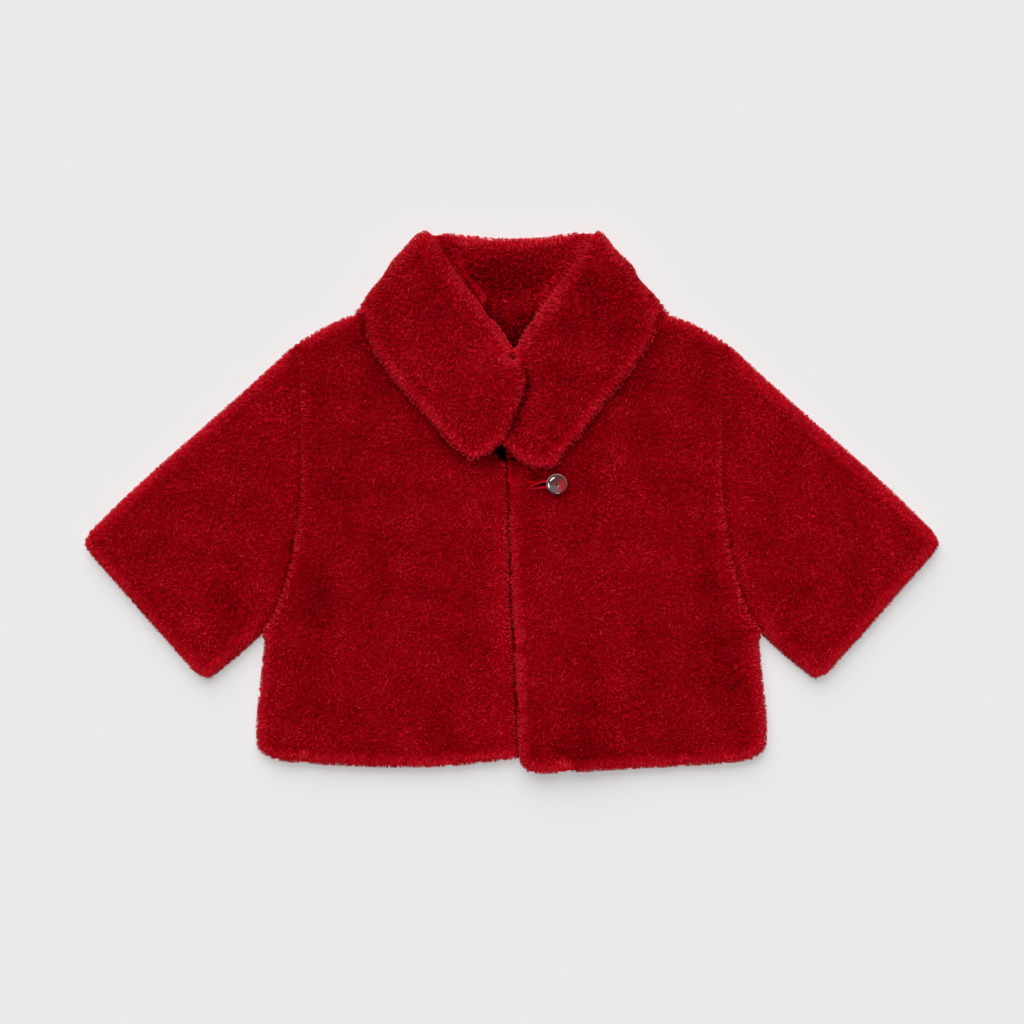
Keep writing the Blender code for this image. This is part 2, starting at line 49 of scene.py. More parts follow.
DECIMATED = 0.3  # the share of its triangles that a flat cloth needs
UPRIGHT = 0.5  # cloth whose normal rises or falls less than this is an edge
EDGE_INSET = -0.3  # mm, how far a free edge of the backing lies inside the solid's; below 0 it stands out
TOP_INSET = 2.3  # mm, the same on the flat of a piece
SEAM_REACH = 2.5  # mm, an edge with cloth this near it is sewn
SEAM_LOOK = 11.0  # mm, how far an edge looks for the next piece
RIM_LIFT = 1.2  # mm, how far the rim stands up, as its cloth is turned in
SEAM_BAND = 6.0  # mm, the band beside a seam that is raised or sunk
SEAM_SHADOW = 3.5  # mm, the dark line beside a seam on the lower cloth
LUMP = 0.45  # mm, the unevenness of a laid cloth
LUMP_LENGTHS = (34, 15)  # mm, of its large lumps and its small ones
RIM = 14.0  # mm, the band along an edge where the pile is combed outwards
CLUMP = 3.0  # mm between the tufts that the pile's tips gather into
GATHER = 0.1  # how far the tips go to their tuft's middle
RIM_GATHER = 0.04  # how much farther at an edge
LEAF_SHEEN = 0.75  # how bright the painted sheen on the collar leaf's edge is against its roll's
SHEEN_FROM = 235  # mm up from the garment's middle, above which both have the same painted sheen
STRAYS = 0.07  # the share of the locks that catch the light
STRAY_TINT = 0.22  # how much lighter those are
PILE_PITCH = 1.56  # mm between pile locks
PILE_LENGTH = 6.0  # mm
PILE_WIDTH = 1.2  # mm, of a lock at its middle
PILE_LEAN = 0.7  # radians, how far the pile leans off straight down the garment
PILE_TINT = 0.49  # the pile's middle tint
TINT_SPREAD = 0.115  # how much the locks' tints differ
BED_TONE = 0.48  # the middle tone of the pile's bed
TUFT_REACH = (2.2, 0.5)  # mm, how far a tuft stands out of the outline, and how much that changes
SKY_CELL = 2.0  # mm, of the height map that gives the shade in folds
SKY_COLUMNS = 220  # on each side of the map's middle
SKY_ROWS = 142
RIM_SHEEN = 0.31  # how much lighter a combed edge is: painted sheen where its pile catches the light
CREASE_SHADE = 0.08  # how much darker each mm of a crease's depth is
SHADE = 0.52  # how much painted shade darkens the pile where the folds round it hide the sky
EDGE_SHADOW = 3.2  # mm, the dark band beside an edge that lies on other cloth
TINT_WIDTH = 0.03  # the share of the tint's range that one lock spans


def linear(colour):
    """A hex sRGB colour as linear RGBA."""
    channels = [int(colour[i : i + 2], 16) / 255 for i in (1, 3, 5)]
    return [c / 12.92 if c <= 0.04045 else ((c + 0.055) / 1.055) ** 2.4 for c in channels] + [1.0]


def place_stops(elements, stops):
    """Sets a colour ramp to these (position, hex colour) stops."""
    while len(elements) < len(stops):
        elements.new(0.5)
    for element, (position, colour) in zip(elements, stops):
        element.position = position
        element.color = linear(colour)


def add(tree, kind, settings=None, links=None):
    """Adds a node with its settings and input values, and links sockets of other nodes to its inputs."""
    node = tree.nodes.new(kind)
    for name, value in (settings or {}).items():
        if name == "stops":
            place_stops(node.color_ramp.elements, value)
        elif isinstance(name, int) or name in node.inputs:
            node.inputs[name].default_value = value
        else:
            setattr(node, name, value)
    for name, socket in (links or {}).items():
        tree.links.new(socket, node.inputs[name])
    return node


def new_material(name, values):
    """A material with these values on its shader's sockets, its node tree and its shader."""
    made = bpy.data.materials.new(name)
    made.use_nodes = True
    shader = made.node_tree.nodes["Principled BSDF"]
    for socket, value in values.items():
        shader.inputs[socket].default_value = value
    return made, made.node_tree, shader


def plush_bed():
    """The dense foot of the pile, seen between the locks: dark, matt and grainy with the tufts' roots, and
    toned by painted light and shade.
    """
    made, tree, shader = new_material("plush_pile_bed", {"Roughness": 1.0, "Specular IOR Level": 0.0})
    place = add(tree, "ShaderNodeTexCoord").outputs["Object"]
    tufts = add(tree, "ShaderNodeTexNoise", {"Scale": 1 / (1.6 * MM), "Detail": 3.0}, {"Vector": place})
    height = tufts.outputs["Fac"]
    tone = add(tree, "ShaderNodeAttribute", {"attribute_name": "tone"}).outputs["Fac"]
    grain = add(tree, "ShaderNodeMath", {"operation": "MULTIPLY_ADD", 1: 0.5, 2: -0.25}, {0: height})
    total = add(tree, "ShaderNodeMath", {"operation": "ADD"}, {0: grain.outputs[0], 1: tone})
    reds = ((0.0, "#020000"), (0.15, "#2c0002"), (0.47, "#92000b"), (0.7, "#b8081a"), (1.0, "#dc1e32"))
    red = add(tree, "ShaderNodeValToRGB", {"stops": reds}, {"Fac": total.outputs[0]})
    tree.links.new(red.outputs["Color"], shader.inputs["Base Color"])
    bump = add(tree, "ShaderNodeBump", {"Strength": 0.8, "Distance": 1.2 * MM}, {"Height": height})
    tree.links.new(bump.outputs["Normal"], shader.inputs["Normal"])
    return made


def plush_pile():
    """Polyester pile: painted shade at the root and a painted pink sheen at the tip, each lock of its own
    tint.
    """
    made, tree, shader = new_material("polyester_plush_pile", {"Roughness": 0.7, "Specular IOR Level": 0.02})
    place = add(tree, "ShaderNodeUVMap", {"uv_map": "pile"}).outputs["UV"]
    across = add(tree, "ShaderNodeSeparateXYZ", None, {"Vector": place})
    root_shade_to_tip_sheen = ((0.0, "#b60c18"), (0.4, "#e42636"), (0.8, "#f93446"), (1.0, "#ff465a"))
    along = add(tree, "ShaderNodeValToRGB", {"stops": root_shade_to_tip_sheen}, {"Fac": across.outputs["Y"]})
    # The tint's ramp: near black where the painted shade is deepest, to white where painted light and sheen
    # are strongest; the locks' own tints lie between.
    tints = ((0.0, "#050001"), (0.15, "#460408"), (0.45, "#bc3870"), (0.62, "#c84880"), (1.0, "#ffffff"))
    tint = add(tree, "ShaderNodeValToRGB", {"stops": tints}, {"Fac": across.outputs["X"]})
    red = add(tree, "ShaderNodeMix", {"data_type": "RGBA", "blend_type": "MULTIPLY", "Factor": 1.0})
    tree.links.new(along.outputs["Color"], red.inputs["A"])
    tree.links.new(tint.outputs["Color"], red.inputs["B"])
    tree.links.new(red.outputs["Result"], shader.inputs["Base Color"])
    return made


BED = plush_bed()
PILE = plush_pile()


def select_only(piece):
    bpy.ops.object.select_all(action="DESELECT")
    piece.select_set(True)
    bpy.context.view_layer.objects.active = piece


def finish_with(piece, kind, **settings):
    """Adds a modifier and applies it."""
    select_only(piece)
    modifier = piece.modifiers.new(kind.lower(), kind)
    for name, value in settings.items():
        setattr(modifier, name, value)
    bpy.ops.object.modifier_apply(modifier=modifier.name)


def merged_copy(node, name):
    """A copy of a CAD node's mesh with its loose triangles merged."""
    piece = bpy.data.objects.new(name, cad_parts[node].data.copy())
    bpy.context.scene.collection.objects.link(piece)
    piece.data.materials.clear()
    select_only(piece)
    bpy.ops.object.mode_set(mode="EDIT")
    bpy.ops.mesh.select_all(action="SELECT")
    bpy.ops.mesh.remove_doubles(threshold=1e-6)
    bpy.ops.object.mode_set(mode="OBJECT")
    return piece


def points_of(piece):
    points = np.empty(3 * len(piece.data.vertices))
    piece.data.vertices.foreach_get("co", points)
    return points.reshape(-1, 3)


def normals_of(piece):
    normals = np.empty(3 * len(piece.data.vertices))
    piece.data.vertex_normals.foreach_get("vector", normals)
    return normals.reshape(-1, 3)


def tree_of(pieces):
    """One search tree over several meshes that lie in the row's frame."""
    points, faces = [], []
    for piece in pieces:
        start = len(points)
        points += [v.co.copy() for v in piece.data.vertices]
        faces += [[start + i for i in p.vertices] for p in piece.data.polygons]
    return BVHTree.FromPolygons(points, faces)


def others_of(node):
    """The solids of all pieces but this one."""
    return tree_of([piece for name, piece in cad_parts.items() if name != node])


def unit(vectors):
    return vectors / np.maximum(np.linalg.norm(vectors, axis=-1, keepdims=True), 1e-12)


def smooth_step(t):
    """A soft step from 0 to 1, level at both ends."""
    t = np.clip(t, 0, 1)
    return t * t * (3 - 2 * t)


def reach(tree, starts, directions, distance):
    """How far each ray goes before it meets the tree, or the distance if it doesn't."""
    free = np.full(len(starts), distance)
    for i, (start, direction) in enumerate(zip(starts.tolist(), directions.tolist())):
        hit = tree.ray_cast(start, direction, distance)[3]
        if hit is not None:
            free[i] = hit
    return free


def search_tree(places):
    """A tree that finds the nearest of these places, its number and how far off it is."""
    tree = kdtree.KDTree(len(places))
    for i, place in enumerate(places):
        tree.insert(place, i)
    tree.balance()
    return tree


def height_map():
    """The height of the garment's top over the floor, in a grid of square cells."""
    solids = tree_of(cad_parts.values())
    heights = np.zeros((2 * SKY_ROWS + 1, 2 * SKY_COLUMNS + 1))
    for row in range(len(heights)):
        for column in range(len(heights[0])):
            at = ((column - SKY_COLUMNS) * SKY_CELL * MM, (row - SKY_ROWS) * SKY_CELL * MM, ABOVE)
            hit = solids.ray_cast(at, (0, 0, -1), 2 * ABOVE)[0]
            if hit is not None:
                heights[row, column] = hit.z
    return heights


def height_at(x, y):
    """The height of the garment's top at places given in mm."""
    column = np.clip(np.rint(x / SKY_CELL + SKY_COLUMNS).astype(int), 0, 2 * SKY_COLUMNS)
    row = np.clip(np.rint(y / SKY_CELL + SKY_ROWS).astype(int), 0, 2 * SKY_ROWS)
    return HEIGHTS[row, column]


def shade_at(points):
    """How much of the sky the cloth round each point of the garment's top hides, from 0 to 1."""
    x, y = points[:, 0] / MM, points[:, 1] / MM
    own = np.maximum(points[:, 2], height_at(x, y))
    hidden = np.zeros(len(points))
    for turn in np.arange(12) * math.pi / 6:
        slope = np.zeros(len(points))
        for step in (2.5, 5, 8, 12, 18):
            there = height_at(x + step * math.cos(turn), y + step * math.sin(turn))
            slope = np.maximum(slope, (there - own) / MM / step)
        hidden += slope / np.sqrt(1 + slope**2) / 12
    return hidden


def waves(points, length, seed, count=7):
    """A smooth, uneven field from about -1 to 1 over the floor plan; length is that of its hollows, in mm."""
    rng = np.random.default_rng(seed)
    field = np.zeros(len(points))
    for _ in range(count):
        heading = rng.uniform(0, 2 * math.pi)
        pitch = length * rng.uniform(0.7, 1.6) * MM
        place = points[:, 0] * math.cos(heading) + points[:, 1] * math.sin(heading)
        field += np.sin(2 * math.pi * place / pitch + rng.uniform(0, 2 * math.pi))
    return field / math.sqrt(count / 2) / 1.6


HEIGHTS = height_map()


def light_and_shade_patches(points, patches):
    """Soft lighter and darker patches of the pile, mostly painted light and shade: (x, y) and reach in mm,
    and the change of tint.
    """
    change = np.zeros(len(points))
    for x, y, reach_x, reach_y, tint in patches:
        off_x, off_y = (points[:, 0] / MM - x) / reach_x, (points[:, 1] / MM - y) / reach_y
        change += tint * np.exp(-(off_x**2) - off_y**2)
    return change


def crease_depth(points, creases):
    """How deep each point lies in the creases, in mm.

    A crease is a line of (x, y) points in mm, its half width and its depth; a ridge has a negative depth.
    """
    depth = np.zeros(len(points))
    plan = points[:, :2] / MM
    for line, half_width, deep in creases:
        line = np.array(line, float)
        best = np.full(len(points), np.inf)
        where = np.zeros(len(points))
        for i, (a, b) in enumerate(zip(line[:-1], line[1:])):
            t = np.clip(((plan - a) @ (b - a)) / ((b - a) @ (b - a)), 0, 1)
            away = np.linalg.norm(plan - a - t[:, None] * (b - a), axis=1)
            nearer = away < best
            best[nearer] = away[nearer]
            where[nearer] = ((i + t) / (len(line) - 1))[nearer]
        taper = np.sin(math.pi * np.clip(where, 0.04, 0.96)) ** 0.6
        depth += deep * taper * np.exp(-((best / half_width) ** 2))
    return depth


def seam_depth(points):
    """How much the armhole's seam shows: faintly at the shoulder, and fully at the underarm."""
    share = np.clip(0.8 - points[:, 1] / MM / 300, 0.3, 1)
    return share * smooth_step((152 - points[:, 1] / MM) / 14)


def seam_gap(solids, faces):
    """How far the next piece is from 3 mm behind each edge face, or SEAM_LOOK where there is none."""
    centres = np.array([tuple(face.center) for face in faces]).reshape(-1, 3)
    ways = unit(np.array([tuple(face.normal) for face in faces]).reshape(-1, 3) * (1, 1, 0))
    return reach(solids, centres - 3 * MM * ways, ways, SEAM_LOOK * MM)


def cloth_lumps(points, rim_away, sewn, seam_lift):
    """How uneven a laid cloth is, in mm: its lumps, the rise along its rim and the band beside its seams."""
    lumps = LUMP * waves(points, LUMP_LENGTHS[0], 3) + 0.5 * LUMP * waves(points, LUMP_LENGTHS[1], 4)
    lumps += RIM_LIFT * (np.exp(-(((rim_away - 5) / 4) ** 2)) - 0.5 * np.exp(-(((rim_away - 14) / 3.5) ** 2)))
    if seam_lift and sewn.any():
        plan = points * (1, 1, 0)
        seam = search_tree(plan[sewn].tolist())
        seam_away = np.array([seam.find(place)[2] for place in plan.tolist()]) / MM
        lumps += seam_lift * (1 - smooth_step(seam_away / SEAM_BAND))
    return lumps


def plush_shell(node, name, creases=(), patches=(), seam_lift=0.0, **how):
    """The cloth of a piece as an even, soft shell on its solid's form, set back to leave room for its pile.

    seam_lift raises the cloth beside a seam, in mm. opened parts the layers of a tube first. voxel, edge and
    top are this piece's own in place of VOXEL, EDGE_INSET and TOP_INSET. bulges push the cloth sideways:
    (x, y), reach and the push in x and y, in mm.
    """
    opened, voxel, top = how.get("opened"), how.get("voxel", VOXEL), how.get("top", TOP_INSET)
    piece = merged_copy(node, name)
    if opened is not None:
        opened(piece)
    finish_with(piece, "REMESH", mode="VOXEL", voxel_size=voxel * MM)
    finish_with(piece, "SMOOTH", factor=0.5, iterations=3)
    points, normals = points_of(piece), normals_of(piece)
    flat = normals[:, 2].copy()
    normals[:, 2] = 0
    ways = unit(normals)
    near = reach(others_of(node), points, ways, 8 * MM)
    sewn = (near < SEAM_REACH * MM) & (np.abs(flat) < 0.7)
    inset = np.where(sewn, -(near / MM / 2 + 0.5), how.get("edge", EDGE_INSET))
    if opened is not None:
        inside = reach(tree_of([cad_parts[node]]), points + 0.6 * MM * ways, ways, 0.5) < 0.49
        inset[inside & ~sewn] = 0
    upright = np.flatnonzero(np.abs(flat) < UPRIGHT)
    rim = search_tree(points[upright])
    found = [rim.find(point) for point in points.tolist()]
    rim_index = upright[[f[1] for f in found]]
    rim_away = np.array([f[2] for f in found]) / MM
    lumps = cloth_lumps(points, rim_away, sewn, seam_lift)
    points -= normals * inset[:, None] * MM
    for x, y, wide, push_x, push_y in how.get("bulges", ()):
        near_it = np.exp(-((points[:, 0] / MM - x) ** 2 + (points[:, 1] / MM - y) ** 2) / wide**2)
        points[:, :2] += near_it[:, None] * np.array([push_x, push_y]) * MM
    points[:, 2] += np.clip(flat, 0, 1) * (lumps - top - crease_depth(points, creases)) * MM
    piece.data.vertices.foreach_set("co", points.reshape(-1))
    finish_with(piece, "SMOOTH", factor=0.5, iterations=1)
    points = points_of(piece)
    points[:, 2] = np.maximum(points[:, 2], 0.2 * MM)
    piece.data.vertices.foreach_set("co", points.reshape(-1))
    # The bed's tone is painted with light and shade: painted shade where the folds hide the sky, the patches'
    # painted light and shade, painted sheen along the rim, painted shade beside a sunk seam and painted light
    # along a raised one, and painted shade in creases.
    tone = BED_TONE + light_and_shade_patches(points, patches) - SHADE * shade_at(points + (0, 0, top * MM))
    at_rim = 1 - smooth_step(rim_away / RIM)
    at_seam = (1 - smooth_step(rim_away / 5)) * seam_depth(points) * (-0.3 if seam_lift < 0 else 0.15)
    tone += np.where(sewn[rim_index], at_seam, RIM_SHEEN * at_rim)
    tone -= CREASE_SHADE * np.clip(crease_depth(points, creases), -1.5, 4)
    piece.data.attributes.new("tone", "FLOAT", "POINT").data.foreach_set("value", tone)
    finish_with(piece, "DECIMATE", ratio=DECIMATED * (voxel / VOXEL) ** 2)
    piece.data.materials.append(BED)
    piece.data.shade_smooth()
    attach(piece, "root")
    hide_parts(node)
    return piece


def spots_on(piece, pitch, rng):
    """Evenly spread points on a mesh, one for each pitch squared, with their normals."""
    piece.data.calc_loop_triangles()
    corners = np.empty(3 * len(piece.data.loop_triangles), np.int32)
    piece.data.loop_triangles.foreach_get("vertices", corners)
    corners = corners.reshape(-1, 3)
    points, normals = points_of(piece), normals_of(piece)
    a, b, c = (points[corners[:, i]] for i in range(3))
    area = np.linalg.norm(np.cross(b - a, c - a), axis=1) / 2
    count = int(area.sum() / (pitch * MM) ** 2)
    along = (np.arange(count) + rng.uniform(0, 1, count)) * area.sum() / count
    face = np.clip(np.searchsorted(np.cumsum(area), along), 0, len(area) - 1)
    u, v = rng.uniform(0, 1, (2, count))
    over = u + v > 1
    u[over], v[over] = 1 - u[over], 1 - v[over]
    weights = np.stack((1 - u - v, u, v), axis=1)
    spots = (points[corners[face]] * weights[..., None]).sum(1)
    outwards = (normals[corners[face]] * weights[..., None]).sum(1)
    return spots, outwards / np.linalg.norm(outwards, axis=1, keepdims=True)


def rim_of(piece, solids, crowd):
    """The edge faces of a shell: a search tree of them, their outward directions, and which are at a seam.

    A face with fewer others within 10 mm than a crowd is a dent in the cloth, and no edge.
    """
    own = tree_of([piece])
    faces = [face for face in piece.data.polygons if abs(face.normal.z) < UPRIGHT]
    faces = [face for face in faces if own.ray_cast(face.center + 2 * MM * face.normal, (0, 0, 1))[0] is None]
    tree = search_tree([face.center for face in faces])
    faces = [face for face in faces if len(tree.find_range(face.center, 10 * MM)) >= crowd]
    ways = unit(np.array([tuple(face.normal) for face in faces]) * (1, 1, 0))
    at_seam = seam_gap(solids, faces) < (SEAM_LOOK - 0.1) * MM
    return search_tree([face.center for face in faces]), ways, at_seam


def swirl(points, seed):
    """The way that the pile lies: down the garment at first, turned about by uneven swirls."""
    turn = -math.pi / 2 - PILE_LEAN + 0.9 * waves(points, 80, seed) + 0.6 * waves(points, 26, seed + 1)
    return np.stack((np.cos(turn), np.sin(turn), np.zeros(len(points))), axis=1)


def beside(points, line):
    """How far in mm each point lies off a line on the floor plan, and the way from there towards the line.

    The cloth whose edge the line is lies on its right as one walks along it. There the distance is positive.
    """
    plan, line = points[:, :2] / MM, np.array(line, float)
    away, sign = np.full(len(points), np.inf), np.ones(len(points))
    ways = np.zeros((len(points), 3))
    for a, b in zip(line[:-1], line[1:]):
        along = b - a
        t = np.clip(((plan - a) @ along) / (along @ along), 0, 1)
        off = a + t[:, None] * along - plan
        distance = np.linalg.norm(off, axis=1)
        nearer = distance < away
        away[nearer] = distance[nearer]
        sign[nearer] = np.sign(off @ np.array([-along[1], along[0]]))[nearer]
        ways[nearer, :2] = off[nearer]
    return away * sign, unit(ways)


def open_spots(shell, solids, pitch, top, bare, edges, rng):
    """The feet of the locks on a shell, and the way up at each, wherever nothing lies on the cloth."""
    spots, up = spots_on(shell, pitch, rng)
    keep = (up[:, 2] > -0.35) | (spots[:, 2] > 4 * MM) & (up[:, 2] > -0.8)
    spots, up = spots[keep], up[keep]
    raised = np.array([0.0, 0.0, (top + 0.2) * MM])
    keep = reach(solids, spots + raised, unit(up + (0, 0, 0.8)), 9 * MM) > 8.9 * MM
    keep &= reach(tree_of([shell]), spots + up * 1.0 * MM, up, 6 * MM) > 5.9 * MM
    for x, y, half_x, half_y in bare:
        keep &= ((spots[:, 0] / MM - x) / half_x) ** 2 + ((spots[:, 1] / MM - y) / half_y) ** 2 > 1
    for line, _ in edges:
        off = beside(spots, line)[0]
        keep &= (off > 0) | (off < -0.7 * EDGE_SHADOW)
    return spots[keep], up[keep]


def tuft_spots(tufts, top, rng):
    """The feet of each tuft's extra locks, level with the lower of the cloths 6 mm to its left and right."""
    feet = [np.empty((0, 3))]
    for x, y, wide, number in tufts:
        around = rng.normal(0, wide / 2, (2, number))
        beside_it = height_at(np.array([x - 6, x + 6]), np.array([y, y])).min()
        level = np.full(number, max(beside_it - top * MM, 2 * MM))
        feet.append(np.stack(((x + around[0]) * MM, (y + around[1]) * MM, level), axis=1))
    return np.vstack(feet)


def nearest_edges(shell, solids, spots, edges, crowd, turned_round):
    """How each spot lies to its nearest edge: how far off in mm, the way out, and whether the edge is sewn.

    Then how strong the rim's painted sheen is there, and how dark the painted shadow of the cloth above it.
    """
    tree, ways, at_seam = rim_of(shell, solids, crowd)
    found = [tree.find(spot) for spot in spots.tolist()]
    away = np.array([f[2] for f in found]) / MM
    nearest = [f[1] for f in found]
    outwards, sewn = ways[nearest], at_seam[nearest]
    edge_sheen, shadow = np.ones(len(spots)), np.zeros(len(spots))
    if turned_round is not None:
        inwards = unit(np.array([*turned_round, 0.0]) * MM - spots * (1, 1, 0))
        bright = ((outwards * inwards).sum(1) > 0.2) | (spots[:, 1] > SHEEN_FROM * MM)
        edge_sheen = np.where(bright, 1.0, LEAF_SHEEN)
    for line, brightness in edges:
        off, way = beside(spots, line)
        inner = (off > 0) & (off < away)
        away[inner], outwards[inner], sewn[inner], edge_sheen[inner] = off[inner], way[inner], False, brightness
        shadow = np.maximum(shadow, np.where(off < 0, 1 - smooth_step(-off / EDGE_SHADOW), 0))
    return away, outwards, sewn, edge_sheen, shadow


def combed_ways(spots, up, seed, at_rim, outwards, combed, rng):
    """The way each lock lies: in swirls, outwards along an edge, and along the combed lines."""
    count = len(spots)
    lie = swirl(spots, seed) + 0.5 * np.stack((*rng.normal(0, 1, (2, count)), np.zeros(count)), axis=1)
    lie = unit(lie) * (1 - 0.8 * at_rim)[:, None] + outwards * (1.6 * at_rim)[:, None]
    for line, wide in combed:
        off, way = beside(spots, line)
        along = np.stack((way[:, 1], -way[:, 0], way[:, 2]), axis=1) * np.sign(off)[:, None]
        near_it = np.exp(-((off / wide) ** 2))[:, None]
        lie = unit(lie) * (1 - near_it) + along * near_it
    lie -= (lie * up).sum(1, keepdims=True) * up
    return unit(lie)


def bent_locks(spots, up, lie, at_rim, length, rng):
    """The middle and tip of each lock, of its own length, curl and rise, its tip gathered into a tuft."""
    count = len(spots)
    side = np.cross(up, lie)
    long = length * MM * rng.uniform(0.7, 1.2, count) * (1 + 0.25 * at_rim)
    curl = rng.normal(0, 0.17, count) * (1 - 0.6 * at_rim)
    rise = rng.uniform(0.18, 0.42, count) * (1 - 0.3 * at_rim)
    middle = spots + long[:, None] * (0.36 * lie + 0.27 * up - 0.12 * curl[:, None] * side)
    tips = spots + long[:, None] * (0.86 * lie + rise[:, None] * up + curl[:, None] * side)
    cells = np.floor(tips[:, :2] / (CLUMP * MM))
    jitter = np.modf(np.abs(np.sin(cells @ np.array([[12.9898, 39.346], [78.233, 11.135]])) * 43758.5453))[0]
    pull = (cells + 0.15 + 0.7 * jitter) * CLUMP * MM - tips[:, :2]
    gather = (GATHER + RIM_GATHER * at_rim)[:, None]
    tips[:, :2] += gather * pull
    middle[:, :2] += gather / 3 * pull
    tips[:, 2] = np.maximum(tips[:, 2], 0.4 * MM)
    middle[:, 2] = np.maximum(middle[:, 2], 0.6 * MM)
    return middle, tips


def pile(shell, node, seed, **how):
    """The pile of a shell wherever nothing lies on it, as two pieces: its nap, and the rim's combed band.

    pitch, length, rim, top and tuft are this piece's own in place of PILE_PITCH, PILE_LENGTH, RIM, TOP_INSET
    and TUFT_REACH, and crowd is what rim_of takes for an edge. turned_round is the (x, y) that a roll goes
    round, whose edges there have more painted sheen than the others. edges are lines of an edge with how
    strong the painted sheen of their rim is, bare are ellipses without pile, combed are lines that the pile
    lies along, and loose are circles where it may leave the outline. tufts are extra locks over a narrow
    slot:
    (x, y), reach and number.
    seam_comb is how strongly the pile is combed over a seam: not at all where the cloth is sunk beside it.
    """
    edges, creases = how.get("edges", ()), how.get("creases", ())
    seam_comb, top = how.get("seam_comb", 1.0), how.get("top", TOP_INSET)
    reach_out, uneven = how.get("tuft", TUFT_REACH)
    rng = np.random.default_rng(seed)
    solids = others_of(node)
    spots, up = open_spots(shell, solids, how.get("pitch", PILE_PITCH), top, how.get("bare", ()), edges, rng)
    extra = tuft_spots(how.get("tufts", ()), top, rng)
    spots = np.vstack((spots, extra))
    up = np.vstack((up, np.tile([0.0, 0.0, 1.0], (len(extra), 1))))
    away, outwards, sewn, edge_sheen, shadow = nearest_edges(
        shell, solids, spots, edges, how.get("crowd", 2), how.get("turned_round")
    )
    seam_share = seam_depth(spots)
    band = 1 - smooth_step((away - 3) / (how.get("rim", RIM) - 3))
    at_rim = band * np.where(sewn, seam_comb * seam_share, 1.0)
    sunk_seam_shade = np.where(sewn, 1 - smooth_step(away / SEAM_SHADOW), 0) * seam_share * (seam_comb == 0)
    lie = combed_ways(spots, up, seed, at_rim, outwards, how.get("combed", ()), rng)
    middle, tips = bent_locks(spots, up, lie, at_rim, how.get("length", PILE_LENGTH), rng)
    raised = np.array([0.0, 0.0, (top + 0.2) * MM])
    free = reach(solids, spots + raised * (1 + sewn)[:, None], unit(tips - spots), 0.012) * 0.9
    tuft = reach_out + uneven * waves(spots, 5, seed + 5) + rng.uniform(-0.5, 0.3, len(spots))
    held = at_rim > 0
    for x, y, wide in how.get("loose", ()):
        held &= np.hypot(spots[:, 0] / MM - x, spots[:, 1] / MM - y) > wide
    ends = outline_share(tree_of([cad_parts[node]]), spots, tips, tuft * MM, held)
    for line, _ in edges:
        before, after = beside(spots, line)[0], beside(tips, line)[0]
        over = (before > 0) & (after < -tuft)
        ends[over] = np.minimum(ends, (before + tuft) / np.maximum(before - after, 0.01))[over]
    fits = np.minimum(1.0, np.minimum(free / np.linalg.norm(tips - spots, axis=1), ends))
    keep = fits > 0.25
    fits, side = fits[keep, None], np.cross(up, lie)[keep]
    spots, at_rim = spots[keep], at_rim[keep]
    middle = spots + (middle[keep] - spots) * fits
    tips = spots + (tips[keep] - spots) * fits
    tint = PILE_TINT + TINT_SPREAD * rng.normal(0, 1, len(spots)) + 0.06 * waves(spots, 48, 7)
    tint += np.where(rng.uniform(0, 1, len(spots)) < STRAYS, STRAY_TINT, 0)
    # The tint carries painted light and shade: painted shade in creases, painted sheen along combed rims,
    # painted light on the low walls of free edges that face away from the lamps, painted shadow beside edges
    # lying on other cloth and beside sunk seams, the patches' painted light and shade, and painted shade
    # where the folds hide the sky.
    tint -= CREASE_SHADE * np.clip(crease_depth(spots, creases), -1.5, 4)
    wall = 1 - np.clip(up[keep, 2], 0, 1)
    lit = (RIM_SHEEN * edge_sheen[keep] + 0.3 * wall * ~sewn[keep]) * at_rim
    tint += lit - 0.4 * shadow[keep] - 0.4 * sunk_seam_shade[keep]
    tint += light_and_shade_patches(spots, how.get("patches", ()))
    tint -= SHADE * np.maximum(shade_at(spots + raised) - 0.04, 0)
    tint = np.clip(tint, 0.02, 0.95)
    made = []
    for part, chosen in (("nap", at_rim < 0.05), ("rim", at_rim >= 0.05)):
        slim = 1 - 0.25 * at_rim
        lock = (spots, middle, tips, side, tint, slim)
        made.append(locks(f"{shell.name}_{part}", *(a[chosen] for a in lock), rng))
    return made


def outline_share(own, roots, tips, tuft, chosen):
    """The share of each chosen lock that stays in its own solid's outline, or a tuft's reach beyond it."""
    shares = np.ones(len(roots))
    back_step = unit((tips - roots) * (1, 1, 0)) * tuft[:, None]
    for i in np.flatnonzero(chosen):
        for share in (1.0, 0.85, 0.7, 0.55, 0.4, 0.2):
            x, y, _ = roots[i] + share * (tips[i] - roots[i]) - back_step[i]
            if own.ray_cast((x, y, ABOVE), (0, 0, -1), 2 * ABOVE)[0] is not None:
                break
        shares[i] = share
    return shares


